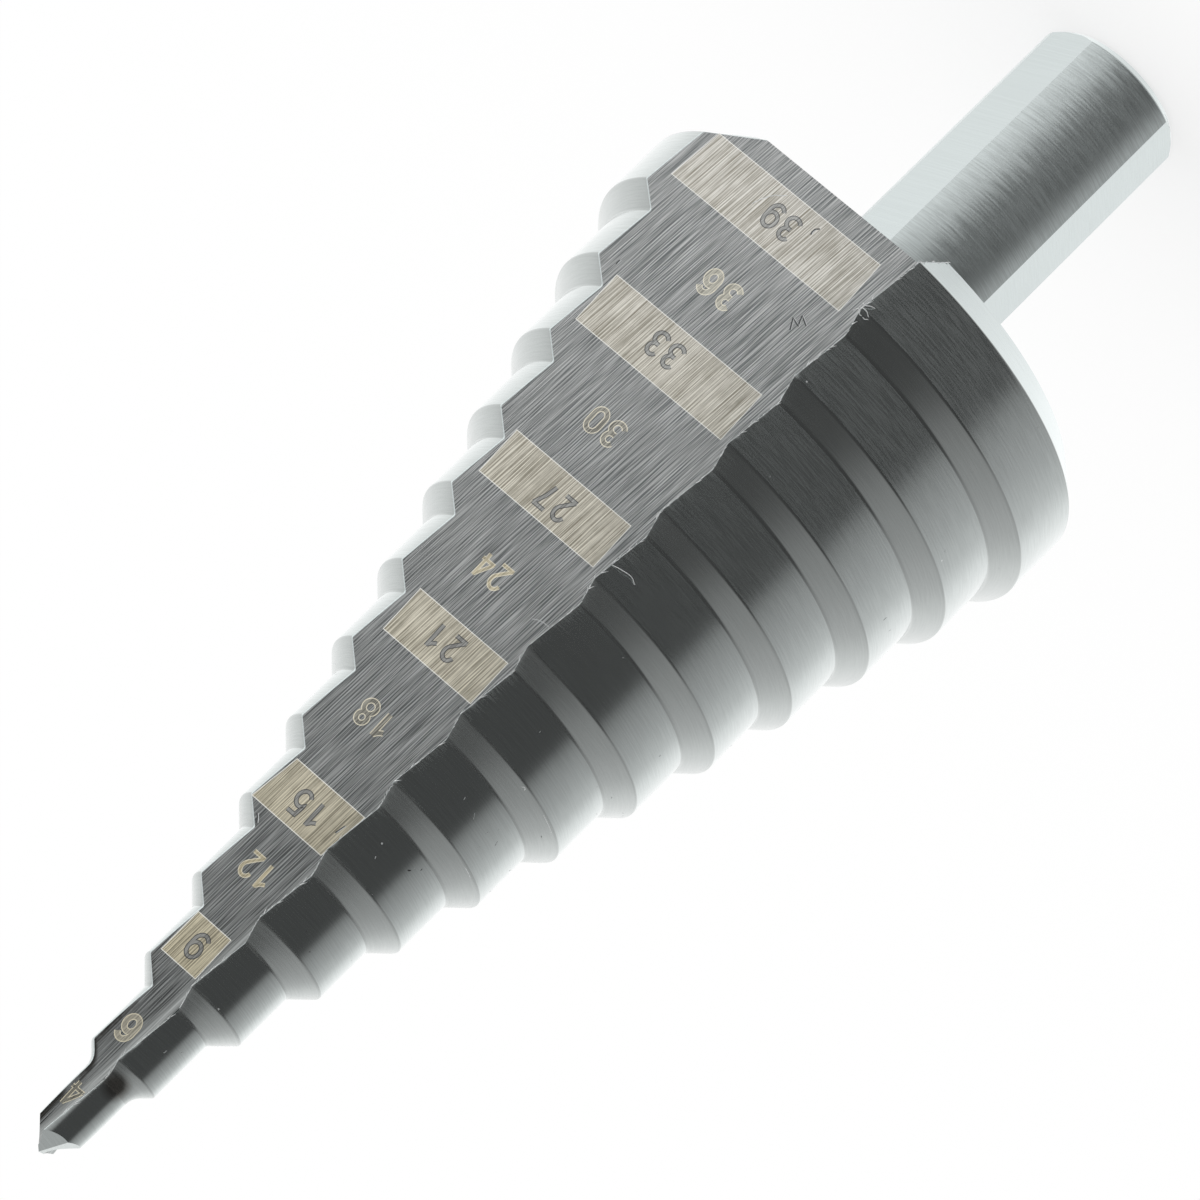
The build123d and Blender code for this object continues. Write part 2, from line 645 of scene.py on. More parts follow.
# The patch of painted shade, tinted brown, in the first step's concave root: its angle round the axis
# and its height, and how far it reaches
burn_and_shade_place = (74.0, 99.8)
burn_and_shade_reach = 1.2
burn_and_shade_colour = (0.075, 0.05, 0.028, 1)
darkening_colour = (0.030, 0.026, 0.020, 1)

# Colours of the steel. The wall's are those near the tip and near the shank: the paler shank colour is
# painted light, standing for the brighter reflection there.
wall_steel_and_painted_light = ((0.31, 0.325, 0.322), (0.91, 0.985, 0.995))
wall_contrast = 0.66
bright_steel = (0.705, 0.765, 0.762)
land_steel = (0.595, 0.635, 0.627)
bevel_steel = (0.49, 0.518, 0.51)
root_steel = (0.34, 0.355, 0.35)


def towards_shank(finish, low=0.0, high=1.0):
    """0 at one share of the way from the tip to the shank's end, and 1 at another."""
    full = total_length * mm
    return finish.between(finish.part(finish.object_place(), "Z"), full * (1 - low), full * (1 - high))


def away_from_edge(finish):
    """Distance from the cutting edge, or from the heel on the numbered wall, in millimetres."""
    return finish.part(finish.add("ShaderNodeUVMap", uv_map="from_edge"), "X")


def two_tones(finish, share, tip_colour, shank_colour, contrast):
    """A colour that goes from dark to light with share, and from the tip's to the shank's. Where the
    shank's colour is paler, that change is painted light.
    """
    tones = []
    for factor in (1 - contrast, 1 + contrast):
        ends = []
        for colour in (tip_colour, shank_colour):
            ends.append(tuple(min(1.0, c * factor) for c in colour) + (1,))
        tones.append(finish.blend(towards_shank(finish), *ends))
    return finish.blend(share, *tones)


def coarse_lines(finish):
    """The grinding lines of the numbered wall, which also run through what is etched on it."""
    even = finish.group(grooves, Place=finish.place(), Spacing=0.2, Length=16.0)
    middle = finish.lines(width=0.058, length=6.0)
    fine = finish.lines(width=0.045, length=3.0)
    scratch = finish.between(finish.lines(width=0.10, length=14.0), 0.0, 0.13, 1.0, 0.0)
    lines = finish.math("MULTIPLY_ADD", middle, 0.42, finish.math("MULTIPLY", fine, 0.35))
    lines = finish.math("MULTIPLY_ADD", even, 0.23, lines)
    return finish.math("MULTIPLY_ADD", scratch, -0.2, lines)


def numbered_wall_finish():
    """Coarsely ground steel, with a colour that grows paler towards the shank: painted light, standing
    for the brighter reflection there. Near the tip it is darker along the heel's edge, in patches."""
    finish = Finish("numbered_wall")
    lines = coarse_lines(finish)
    # Painted light: the colour grows paler towards the shank.
    colour = two_tones(finish, finish.between(lines, 0.25, 0.75), *wall_steel_and_painted_light, wall_contrast)
    # Darker along the heel's edge near the tip, in patches, and in scattered specks.
    edge = finish.between(away_from_edge(finish), 0.25, 0.6, 1.0, 0.0)
    near_tip = towards_shank(finish, 0.16, 0.08)
    patchy = finish.between(finish.group(tone, Spacing=2.5), 0.2, 0.6)
    darkening = finish.math("MULTIPLY", finish.math("MULTIPLY", edge, near_tip), patchy)
    specks = finish.group(pits, Spacing=2.6, Size=0.13, Share=0.14)
    darkening = finish.math("MAXIMUM", darkening, finish.math("MULTIPLY", specks, 0.7))
    colour = finish.blend(finish.math("MULTIPLY", darkening, 0.85), colour, darkening_colour)
    metallic = finish.between(towards_shank(finish), 0.1, 0.62, 0.97, 0.70)
    return finish.set(
        Base_Color=colour, Roughness=finish.mottled(9.0, 0.32, 0.42), Metallic=metallic,
        Normal=finish.bump(lines, 0.008))


def rubbed_streaks(finish):
    """Dull streaks that start at the cutting edge and grow longer towards the shank."""
    reach = finish.between(finish.lines(width=0.12, length=9.0), 0.2, 1.0, 0.1, 1.3)
    reach = finish.math("MULTIPLY", reach, towards_shank(finish, -0.1, 0.5))
    share = finish.math("DIVIDE", away_from_edge(finish), reach)
    streaks = finish.between(share, 0.0, 1.0, 1.0, 0.0)
    patchy = finish.between(finish.group(tone, Spacing=4.0), 0.35, 0.75, 0.015, 0.075)
    return finish.math("MULTIPLY", streaks, patchy)


def dull_film(finish, haze):
    """A film that lies towards the shank, or towards the tip where haze is negative."""
    film = towards_shank(finish, 0.42, 0.72) if haze > 0 else towards_shank(finish, 0.55, 0.15)
    lines = finish.lines(width=0.13, length=2.5)
    rubbed = finish.between(lines, 0.0, 1.0, 0.5 * abs(haze), 1.5 * abs(haze))
    return finish.math("MULTIPLY", film, rubbed)


def burn_and_painted_shade(finish):
    """Painted shade in the first step's concave root, with the brown tint that the steel has there."""
    away = finish.vector_math("DISTANCE", finish.object_place(), land_point(*burn_and_shade_place), "Value")
    return finish.between(away, 0.4 * burn_and_shade_reach * mm, burn_and_shade_reach * mm, 0.65, 0.0)


def land_finish(name, colour, roughness, shading, depth, haze=0.0):
    """Finely ground steel, with small specks, with what has rubbed it, and with painted shade, tinted
    brown, in the first step's root.
    """
    finish = Finish(name)
    fine = finish.lines(width=0.10, length=3.0)
    specks = finish.group(pits, Spacing=1.6, Size=0.09, Share=0.13)
    shade = tuple(c * (1 - shading) for c in colour) + (1,)
    tint = finish.blend(fine, shade, colour + (1,))
    tint = finish.blend(finish.math("MULTIPLY", specks, 0.5), tint, (0.95, 0.97, 0.97, 1))
    # Painted shade, tinted brown, in the first step's concave root.
    tint = finish.blend(burn_and_painted_shade(finish), tint, burn_and_shade_colour)
    dull = finish.math("ADD", rubbed_streaks(finish), dull_film(finish, haze))
    dull = finish.math("MULTIPLY_ADD", specks, 0.35, dull)
    height = finish.math("MULTIPLY_ADD", specks, -1.5, fine)
    return finish.set(
        Base_Color=tint, Roughness=finish.mottled(7.0, roughness * 0.85, roughness * 1.15),
        Metallic=finish.math("SUBTRACT", 1.0, dull), Normal=finish.bump(height, depth))


def shank_finish():
    """The shank's round strips: finely turned, bright on one side and rubbed dull on the other."""
    finish = Finish("shank_round")
    fine = finish.lines(width=0.09, length=2.2)
    tint = finish.blend(fine, (0.60, 0.65, 0.645, 1), bright_steel + (1,))
    side = finish.part(finish.object_place(), "X")
    dull = finish.between(side, -1.6 * mm, 0.4 * mm, 0.47, 0.17)
    dull = finish.math("MULTIPLY", dull, finish.between(side, 0.4 * mm, 3.0 * mm, 1.0, 0.25))
    rubbed = finish.between(finish.lines(width=0.14, length=2.8), 0.0, 1.0, 0.7, 1.3)
    dull = finish.math("MULTIPLY", dull, rubbed)
    return finish.set(
        Base_Color=tint, Roughness=finish.mottled(3.0, 0.29, 0.37),
        Metallic=finish.math("SUBTRACT", 1.0, dull), Normal=finish.bump(fine, 0.002))


body = drill_body()

# Shading says how much darker the grinding lines are, depth how deep they are, and haze how much
# of a dull film lies on the steel: towards the tip where it is negative.
finishes = {
    "wall": numbered_wall_finish(),
    "root": land_finish("flute_root", root_steel, roughness=0.3, shading=0.35, depth=0.002),
    "face": land_finish("cutting_face", land_steel, roughness=0.3, shading=0.3, depth=0.003),
    "land": land_finish("land", land_steel, roughness=0.16, shading=0.07, depth=0.0005, haze=0.055),
    "bevel": land_finish("bevel", bevel_steel, roughness=0.22, shading=0.05, depth=0.0004, haze=-0.045),
    "edge": land_finish("ground_edge", bright_steel, roughness=0.25, shading=0.1, depth=0.001),
    "chamfer": land_finish("rear_chamfer", bright_steel, roughness=0.2, shading=0.04, depth=0.0003),
    "back": land_finish("back_face", bright_steel, roughness=0.3, shading=0.3, depth=0.004),
    "strip": shank_finish(),
    "flat": land_finish("shank_flat", bright_steel, roughness=0.22, shading=0.03, depth=0.0003),
    "rim": land_finish("shank_chamfer", bright_steel, roughness=0.25, shading=0.05, depth=0.0005),
    "end": land_finish("shank_end_face", bright_steel, roughness=0.3, shading=0.2, depth=0.003),
    "facet": land_finish("point_facet", land_steel, roughness=0.25, shading=0.06, depth=0.0006),
}
for region in regions:
    body.data.materials.append(finishes[region])
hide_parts("step_drill")
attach(body, "root")

# Etched size marks, on the numbered wall of the flute in view. A place on that wall is given
# across it, from the foot of the perpendicular from the axis, and by its height.
digit_width = 1.18
digit_height = 2.0
digit_inset = 0.14
longest_piece = 0.12
stroke_pieces = 3
arc_piece = 15
sharpest_mitre = 0.6

# Kinds of digit: how far apart two of them stand, the widths of a stroke and of its rim, and the
# pieces that these go to
DigitKind = namedtuple("DigitKind", "advance stroke rim piece rim_piece")
digit_kinds = {
    "bare": DigitKind(1.42, 0.20, 0.06, "size_digits_bare", "size_digit_dark_rims"),
    "filled": DigitKind(1.66, 0.30, 0.07, "size_digits_grey", "size_digit_rims"),
    "outlined": DigitKind(1.50, 0.26, 0.07, "size_digits_faint", "size_digit_rims"),
    "plain": DigitKind(1.32, 0.17, 0.06, "size_digits_etched", "size_digit_rims"),
    "worn": DigitKind(1.32, 0.18, 0.06, "size_digits_worn", "size_digit_rims"),
}

# Etched finishes: colour near the tip and near the shank, how much the grinding lines show in it,
# and how metallic it is. The paler colour near the shank is painted light, as on the wall.
etched_looks = {
    "etched_band": ((0.445, 0.395, 0.258), (0.87, 0.82, 0.695), 0.55, 0.25),
    "etched_digit": ((0.42, 0.365, 0.23), (0.64, 0.59, 0.46), 0.35, 0.15),
    "etched_faint": ((0.25, 0.24, 0.20), (0.52, 0.51, 0.46), 0.5, 0.5),
    "etched_grey": ((0.40, 0.375, 0.30), (0.62, 0.61, 0.54), 0.4, 0.3),
    "etched_rim": ((0.64, 0.59, 0.44), (0.86, 0.83, 0.72), 0.15, 0.1),
    "band_outline": ((0.80, 0.79, 0.72), (0.90, 0.90, 0.86), 0.12, 0.1),
    "bare_digit": ((0.25, 0.25, 0.235), (0.56, 0.565, 0.55), 0.35, 0.4),
    "bare_digit_rim": ((0.07, 0.072, 0.074), (0.2, 0.205, 0.205), 0.3, 0.4),
}
etched_pieces = {
    "size_bands": "etched_band",
    "size_band_rims": "band_outline",
    "size_digits_bare": "bare_digit",
    "size_digits_grey": "etched_grey",
    "size_digits_faint": "etched_faint",
    "size_digits_etched": "etched_digit",
    "size_digits_worn": "etched_faint",
    "size_digit_rims": "etched_rim",
    "size_digit_dark_rims": "bare_digit_rim",
}

# How far each layer stands off the wall. A digit's later strokes lie a little above its earlier
# ones, so that no two faces are in one place.
band_lift = 0.004
band_outline_lift = 0.006
digit_rim_lift = 0.008
digit_lift = 0.010
nick_lift = 0.012
stroke_lift = 0.0006

# Bands: the heights that they lie between, and how far across the wall they reach at both, on the
# side of the heel and on the side of the root
band_outline_width = 0.06
Band = namedtuple("Band", "low high far_low far_high near_low near_high")
bands = (
    Band(26.30, 30.45, 13.45, 13.97, -1.05, -1.10),
    Band(38.05, 42.08, 11.95, 11.95, -1.12, -1.12),
    Band(50.27, 53.95, 9.68, 9.68, -0.62, -0.62),
    Band(62.38, 65.97, 7.10, 7.10, -0.80, -0.80),
    Band(76.07, 79.77, 5.35, 5.93, -0.78, -0.33),
    Band(87.70, 91.08, 3.20, 3.34, 0.25, 0.25),
)

# Size marks, each with the place of its middle
Mark = namedtuple("Mark", "text across height kind")
marks = (
    Mark("39", 6.05, 28.30, "bare"),
    Mark("36", 5.98, 34.42, "filled"),
    Mark("33", 5.92, 39.86, "bare"),
    Mark("30", 5.34, 46.36, "outlined"),
    Mark("27", 4.30, 52.34, "bare"),
    Mark("24", 4.25, 58.50, "plain"),
    Mark("21", 3.31, 64.05, "bare"),
    Mark("18", 3.29, 70.79, "outlined"),
    Mark("15", 2.45, 78.05, "bare"),
    Mark("12", 2.10, 83.22, "plain"),
    Mark("9", 1.69, 89.42, "bare"),
    Mark("6", 1.32, 96.24, "filled"),
    Mark("4", 1.01, 101.71, "worn"),
)


def wall_point(across, height, lift):
    """A place on the numbered wall or on the flute's round root beside it, lifted off it."""
    depth = total_length - height
    into_root = min(flute_root_radius, max(0.0, root_centre(depth).dot(numbered_across) - across))
    rise = flute_root_radius - math.sqrt(flute_root_radius ** 2 - into_root ** 2)
    flat = numbered_normal * (numbered_distance(depth) + rise + lift) + numbered_across * across
    return Vector((flat.x, flat.y, height))


def arc(x, y, wide, high, start, end):
    """Points along part of an ellipse, from one angle to another."""
    count = max(3, round(abs(end - start) / arc_piece))
    angles = [math.radians(start + (end - start) * k / count) for k in range(count + 1)]
    return [Vector((x + wide * math.cos(a), y + high * math.sin(a))) for a in angles]


def corners(*points):
    return [Vector(point) for point in points]


def digit_strokes(digit):
    """Centre lines of a digit's strokes, in a box one wide and one high."""
    if digit == "0":
        return [arc(0.5, 0.7, 0.5, 0.3, 0, 180) + arc(0.5, 0.3, 0.5, 0.3, 180, 360) + corners((1, 0.7))]
    if digit == "1":
        return [corners((0.12, 0.72), (0.42, 0.82), (0.68, 1)), corners((0.68, 1.05), (0.68, 0))]
    if digit == "2":
        return [
            arc(0.5, 0.7, 0.46, 0.3, 165, -35) + corners((0.5, 0.28), (0.03, 0)),
            corners((-0.05, 0), (1, 0))]
    if digit == "3":
        return [
            arc(0.48, 0.76, 0.43, 0.24, 155, -90),
            corners((0.3, 0.52)) + arc(0.46, 0.26, 0.52, 0.26, 90, -155)]
    if digit == "4":
        return [
            corners((0.75, 1), (0, 0.28)), corners((-0.1, 0.28), (1.05, 0.28)),
            corners((0.75, 0), (0.75, 1.05))]
    if digit == "5":
        return [corners((0.93, 1), (0.22, 1), (0.1, 0.52)) + arc(0.46, 0.33, 0.52, 0.33, 125, -150)]
    if digit == "6":
        return [
            arc(0.5, 0.32, 0.5, 0.32, 0, 360),
            arc(0.55, 0.62, 0.55, 0.38, 35, 180) + corners((0, 0.32))]
    if digit == "7":
        return [corners((0, 1), (1.08, 1)), corners((1, 1), (0.6, 0.5), (0.38, 0))]
    if digit == "8":
        return [arc(0.5, 0.77, 0.42, 0.23, 0, 360), arc(0.5, 0.27, 0.5, 0.27, 0, 360)]
    return [[Vector((1 - point.x, 1 - point.y)) for point in stroke] for stroke in digit_strokes("6")]


def finely_divided(line):
    """The same line with more points, so that it can follow a curved face."""
    points = [line[0]]
    for start, end in zip(line, line[1:]):
        count = math.ceil((end - start).length / longest_piece)
        points += [start + (end - start) * k / count for k in range(1, count + 1)]
    return points


def ribbon(line, width):
    """Left and right sides of a flat ribbon along a line, with mitred corners."""
    closed = (line[0] - line[-1]).length < same_place
    ways = [(end - start).normalized() for start, end in zip(line, line[1:])]
    sides = []
    for i, point in enumerate(line):
        around = ways[max(0, i - 1):i + 1]
        if closed and i in (0, len(line) - 1):
            around = [ways[-1], ways[0]]
        left = [Vector((-way.y, way.x)) for way in around]
        across = sum(left, Vector((0, 0))).normalized()
        reach = width / 2 / max(sharpest_mitre, across.dot(left[0]))
        sides.append((point + across * reach, point - across * reach))
    return sides


class MarkMesh:
    """Flat faces that lie on the numbered wall, in the same grinding lines as the wall itself."""

    def __init__(self, name, finish):
        self.name = name
        self.finish = finish
        self.bm = bmesh.new()
        self.grain = self.bm.loops.layers.uv.new("grain")
        self.from_edge = self.bm.loops.layers.uv.new("from_edge")

    def face(self, places, lift):
        points = [wall_point(place[0], place[1], lift) for place in places]
        made = self.bm.faces.new([self.bm.verts.new(point) for point in points])
        for corner in made.loops:
            corner[self.grain].uv = wall_grain(corner.vert.co)
            corner[self.from_edge].uv = (far_from_edge, 0.0)

    def stroke(self, line, width, lift, columns=1):
        """A flat ribbon along a line, in that many columns of faces."""
        sides = ribbon(line, width)
        for (left, right), (next_left, next_right) in zip(sides, sides[1:]):
            for k in range(columns):
                low, high = k / columns, (k + 1) / columns
                self.face([
                    left.lerp(right, low), left.lerp(right, high),
                    next_left.lerp(next_right, high), next_left.lerp(next_right, low)], lift)

    def finished(self):
        for made in self.bm.faces:
            made.normal_update()
            if made.normal.xy.dot(numbered_normal) < 0:
                made.normal_flip()
        bmesh.ops.remove_doubles(self.bm, verts=self.bm.verts[:], dist=merge_distance)
        piece = piece_from(self.name, self.bm)
        piece.data.materials.append(self.finish)
        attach(piece, "root")


def add_bands(fields, outlines):
    for band in bands:
        rim = corners(
            (band.far_low, band.low), (band.near_low, band.low),
            (band.near_high, band.high), (band.far_high, band.high))
        fields.face(rim, band_lift)
        outlines.stroke(rim + rim[:1], band_outline_width, band_outline_lift)


def add_digits(mark, pieces):
    """Writes a mark's digits, which read away from the root with their tops towards the tip."""
    kind = digit_kinds[mark.kind]
    left = mark.across - (len(mark.text) - 1) * kind.advance / 2 - digit_width / 2 + digit_inset
    bottom = mark.height - digit_height / 2 + digit_inset
    wide = digit_width - 2 * digit_inset
    high = digit_height - 2 * digit_inset
    for i, digit in enumerate(mark.text):
        for number, stroke in enumerate(digit_strokes(digit)):
            line = [Vector((left + kind.advance * i + p.x * wide, bottom + p.y * high)) for p in stroke]
            line = finely_divided(line)
            own_lift = number * stroke_lift
            pieces[kind.piece].stroke(line, kind.stroke, digit_lift + own_lift, stroke_pieces)
            pieces[kind.rim_piece].stroke(
                line, kind.stroke + 2 * kind.rim, digit_rim_lift + own_lift, stroke_pieces)


def etched_finish(name, tip_colour, shank_colour, contrast, metallic):
    """Etched steel: matt, and the grinding lines show through. Its colour grows paler towards the
    shank: painted light.
    """
    finish = Finish(name, metallic)
    lines = coarse_lines(finish)
    patches = finish.between(finish.group(tone, Spacing=1.2), 0.0, 1.0, -0.12, 0.12)
    share = finish.math("ADD", finish.between(lines, 0.2, 0.8), patches)
    # Painted light: paler towards the shank.
    colour = two_tones(finish, share, tip_colour, shank_colour, contrast)
    return finish.set(Base_Color=colour, Roughness=0.5, Normal=finish.bump(lines, 0.005))


def size_marks():
    """Makes the bands and the digits, one piece for each finish."""
    etched = {name: etched_finish(name, *look) for name, look in etched_looks.items()}
    pieces = {name: MarkMesh(name, etched[look]) for name, look in etched_pieces.items()}
    add_bands(pieces["size_bands"], pieces["size_band_rims"])
    for mark in marks:
        add_digits(mark, pieces)
    for piece in pieces.values():
        piece.finished()


size_marks()

# Wear, and painted highlights. Nicks and scratches on the numbered wall are lines of places on it,
# across and by height.
# Chips, pits and curls on the lands are given by their angle round the axis and their height, with
# a chip's size or a curl's lift off the land, and the painted highlights along ridges by two angles and
# a height.
nicks = (
    ((3.94, 27.68), (4.0, 27.46), (3.95, 27.21), (3.73, 27.0)),
    ((0.5, 33.51), (0.91, 32.76), (0.28, 32.96), (0.54, 32.27), (-0.13, 32.62)),
    ((12.52, 37.52), (12.5, 37.15)),
    ((4.85, 80.43), (4.64, 80.61), (4.4, 80.93)),
    ((0.01, 78.07), (-0.17, 77.31)),
    ((-0.37, 66.72), (-0.40, 66.60)),
    ((-0.48, 79.46), (-0.50, 79.36)),
)
scratches = (
    ((7.01, 26.65), (7.29, 26.93), (7.65, 27.14), (8.1, 27.83), (8.42, 28.56)),
    ((0.04, 59.14), (-0.31, 58.94), (-0.75, 58.83), (-1.19, 58.82)),
)
bright_chips = (
    (74.5, 78.12, 1.6), (59.0, 71.6, 1.5), (68.8, 65.0, 1.2), (48.0, 71.48, 1.3), (39.5, 71.32, 1.5),
    (31.0, 63.64, 1.0), (29.0, 59.2, 1.0), (27.2, 41.96, 1.2), (20.2, 41.64, 1.0), (37.5, 36.8, 1.1),
    (20.2, 63.0, 0.9), (65.2, 96.04, 1.2), (46.2, 95.16, 1.1), (11.5, 64.04, 0.9))
dark_pits = (
    (89.5, 74.0, 1.2), (57.2, 69.44, 1.2), (56.5, 76.88, 1.8), (51.5, 76.16, 1.0), (56.5, 85.12, 1.1),
    (27.8, 68.52, 1.2), (68.5, 84.44, 0.9), (89.8, 98.88, 0.8))
curls = (
    ((92.2, 54.64, 0.05), (89.0, 54.48, 0.3), (86.0, 54.35, 0.22), (84.0, 54.48, 0.02)),
    ((92.5, 31.96, 0.05), (91.4, 31.99, 0.22), (90.2, 32.1, 0.12), (88.8, 32.0, 0.02)),
    ((93.4, 32.35, 0.02), (92.7, 32.2, 0.28), (91.8, 32.35, 0.2), (91.0, 32.1, 0.02)),
    ((93.0, 31.7, 0.02), (92.3, 31.8, 0.22), (91.4, 31.6, 0.3), (90.6, 31.4, 0.03)),
    ((91.6, 32.2, 0.02), (90.7, 32.35, 0.2), (89.9, 32.2, 0.12), (89.3, 32.35, 0.0)),
    ((58.2, 68.24, 0.02), (56.8, 68.1, 0.08), (55.6, 68.2, 0.02)),
)
# Painted highlights along two ridges: thin pale hairs where the sharp ridge catches the light.
ridge_painted_highlights = ((51.8, 29.8, 68.0), (50.0, 34.5, 74.0))

# Widths and radii of what is worn, and of the painted highlights. Beside each nick runs a pale strip, a
# painted highlight where its edge would catch the light.
nick_width = 0.09
nick_highlight_width = 0.05
nick_highlight_shift = (-0.07, -0.05)
scratch_width = 0.05
chip_size = 0.045
stray_chips = 50
stray_chip_seed = 11
curl_radius = 0.026
ridge_highlight_radius = 0.014
ridge_pieces = 8


def line_mesh(name, lines):
    """A mesh of edges alone, along lines of places in metres."""
    points = []
    edges = []
    for line in lines:
        edges += [(len(points) + i, len(points) + i + 1) for i in range(len(line) - 1)]
        points += line
    mesh = bpy.data.meshes.new(name)
    mesh.from_pydata(points, edges, [])
    return mesh


class GrowingGraph(Graph):
    """A tree of geometry nodes that grows small things on the places or lines of a mesh."""

    def __init__(self, name, inputs):
        inputs = {"Source": "Geometry", **inputs, "Finish": "Material"}
        tree, self.given, self.result = node_group(
            name, inputs, "Grown", "GeometryNodeTree", "Geometry")
        super().__init__(tree)

    def random(self, kind, sockets, output):
        sockets = {**sockets, "Seed": self.given["Seed"]}
        return self.add("FunctionNodeRandomValue", sockets, output, data_type=kind)

    def random_vector(self, low, high):
        return self.random("FLOAT_VECTOR", {0: low, 1: high}, 0)

    def aligned(self, direction, lean):
        """A turn that points an instance's Z that way, with a lean of its own after it."""
        upright = self.add("FunctionNodeAlignRotationToVector", {"Vector": direction}, axis="Z")
        return self.add("FunctionNodeRotateRotation", {0: upright, 1: lean}, rotation_space="LOCAL")

    def finished(self, grown):
        """Makes what has grown real and gives it its finish."""
        real = self.add("GeometryNodeRealizeInstances", {"Geometry": grown})
        sockets = {"Geometry": real, "Material": self.given["Finish"]}
        self.tree.links.new(self.add("GeometryNodeSetMaterial", sockets), self.result["Grown"])
        return self.tree


def make_burr_tree():
    """Fine burrs along an edge: thin slivers that follow it and stand off it a little."""
    sizes = {"Spacing": 0.2 * mm, "Share": 0.5, "Length": 0.3 * mm, "Thickness": 0.03 * mm}
    graph = GrowingGraph("edge_burrs", {**sizes, "Seed": 1})
    given = graph.given
    curve = graph.add("GeometryNodeMeshToCurve", {"Mesh": given["Source"]})
    sockets = {"Curve": curve, "Length": given["Spacing"]}
    spread = graph.add("GeometryNodeResampleCurve", sockets, mode="LENGTH")
    sockets = {
        "Vertices": 5, "Radius Top": 0.0, "Radius Bottom": given["Thickness"], "Depth": given["Length"]}
    sliver = graph.add("GeometryNodeMeshCone", sockets)
    chosen = graph.random("BOOLEAN", {"Probability": given["Share"]}, 3)
    lean = graph.random_vector((-0.5, -0.5, -3.0), (0.5, 0.5, 3.0))
    turn = graph.aligned(graph.add("GeometryNodeInputTangent"), lean)
    scale = graph.random("FLOAT", {2: 0.4, 3: 1.5}, 1)
    sockets = {
        "Points": spread, "Selection": chosen, "Instance": sliver, "Rotation": turn, "Scale": scale}
    return graph.finished(graph.add("GeometryNodeInstanceOnPoints", sockets))


def make_chip_tree():
    """Flat chips or pits on the round lands, one on each given place. A place's x and y say which
    way is out."""
    graph = GrowingGraph("land_chips", {"Size": 0.04 * mm, "Seed": 1})
    out = graph.vector_math("MULTIPLY", graph.add("GeometryNodeInputPosition"), (1, 1, 0))
    turn = graph.aligned(out, graph.random_vector((0, 0, -1.5), (0, 0, 1.5)))
    spread = graph.random_vector((1.0, 0.35, 0.2), (3.6, 0.7, 0.35))
    own_size = graph.add("GeometryNodeInputNamedAttribute", {"Name": "chip_size"}, data_type="FLOAT")
    sockets = {"Radius": graph.given["Size"], "Subdivisions": 2}
    chip = graph.add("GeometryNodeMeshIcoSphere", sockets)
    sockets = {
        "Points": graph.given["Source"], "Instance": chip, "Rotation": turn,
        "Scale": graph.scaled(spread, own_size)}
    return graph.finished(graph.add("GeometryNodeInstanceOnPoints", sockets))


def make_hair_tree():
    """Round hairs of metal along lines, thick in the middle and pointed at both ends."""
    graph = GrowingGraph("metal_hairs", {"Thickness": 0.03 * mm})
    curve = graph.add("GeometryNodeMeshToCurve", {"Mesh": graph.given["Source"]})
    spline = graph.add("GeometryNodeCurveSplineType", {"Curve": curve}, spline_type="BEZIER")
    smooth = graph.add("GeometryNodeCurveSetHandles", {"Curve": spline}, handle_type="AUTO")
    sockets = {"Curve": smooth, "Count": 24}
    fine = graph.add("GeometryNodeResampleCurve", sockets, mode="COUNT")
    share = graph.add("GeometryNodeSplineParameter")
    bulge = graph.math("SINE", graph.math("MULTIPLY", share, math.pi))
    radius = graph.math("MULTIPLY_ADD", bulge, 0.85, 0.15)
    tapered = graph.add("GeometryNodeSetCurveRadius", {"Curve": fine, "Radius": radius})
    sockets = {"Resolution": 6, "Radius": graph.given["Thickness"]}
    profile = graph.add("GeometryNodeCurvePrimitiveCircle", sockets)
    sockets = {"Curve": tapered, "Profile Curve": profile, "Fill Caps": True}
    return graph.finished(graph.add("GeometryNodeCurveToMesh", sockets))


def grown_piece(name, source, tree, **inputs):
    """Runs a tree of geometry nodes on a source mesh and keeps the result as a plain piece."""
    holder = linked(name + "_source", source)
    modifier = holder.modifiers.new(name, "NODES")
    modifier.node_group = tree
    for item in tree.interface.items_tree:
        if item.in_out == "INPUT" and item.name in inputs:
            modifier[item.identifier] = inputs[item.name]
    depsgraph = bpy.context.evaluated_depsgraph_get()
    mesh = bpy.data.meshes.new_from_object(holder.evaluated_get(depsgraph))
    holder.modifiers.remove(modifier)
    bpy.data.objects.remove(holder)
    piece = linked(name, mesh)
    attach(piece, "root")


def cutting_edges():
    """Lines along both cutting edges, from the tip to the back of the steps."""
    lines = [[], []]
    for row in outline_rows():
        if row.depth < tip_length / 3:
            continue
        place = half_section(row)[corner_pieces // 2]
        for line, side in zip(lines, (1, -1)):
            point = place.point * side
            line.append(Vector((point.x, point.y, total_length - place.depth)) * mm)
    return lines


def chip_places(name, chips):
    mesh = bpy.data.meshes.new(name)
    mesh.from_pydata([land_point(angle, height) for angle, height, _ in chips], [], [])
    sizes = mesh.attributes.new("chip_size", "FLOAT", "POINT")
    for value, (_, _, size) in zip(sizes.data, chips):
        value.value = size
    return mesh


def strays():
    """Chips strewn over the lands and bevels of both lobes."""
    chance = random.Random(stray_chip_seed)
    chips = []
    for _ in range(stray_chips):
        angle = chance.choice((0, 180)) + chance.uniform(-10, 82)
        height = total_length - chance.uniform(tip_length, steps_end - rear_chamfer)
        chips.append((angle, height, chance.uniform(0.35, 0.9)))
    return tuple(chips)


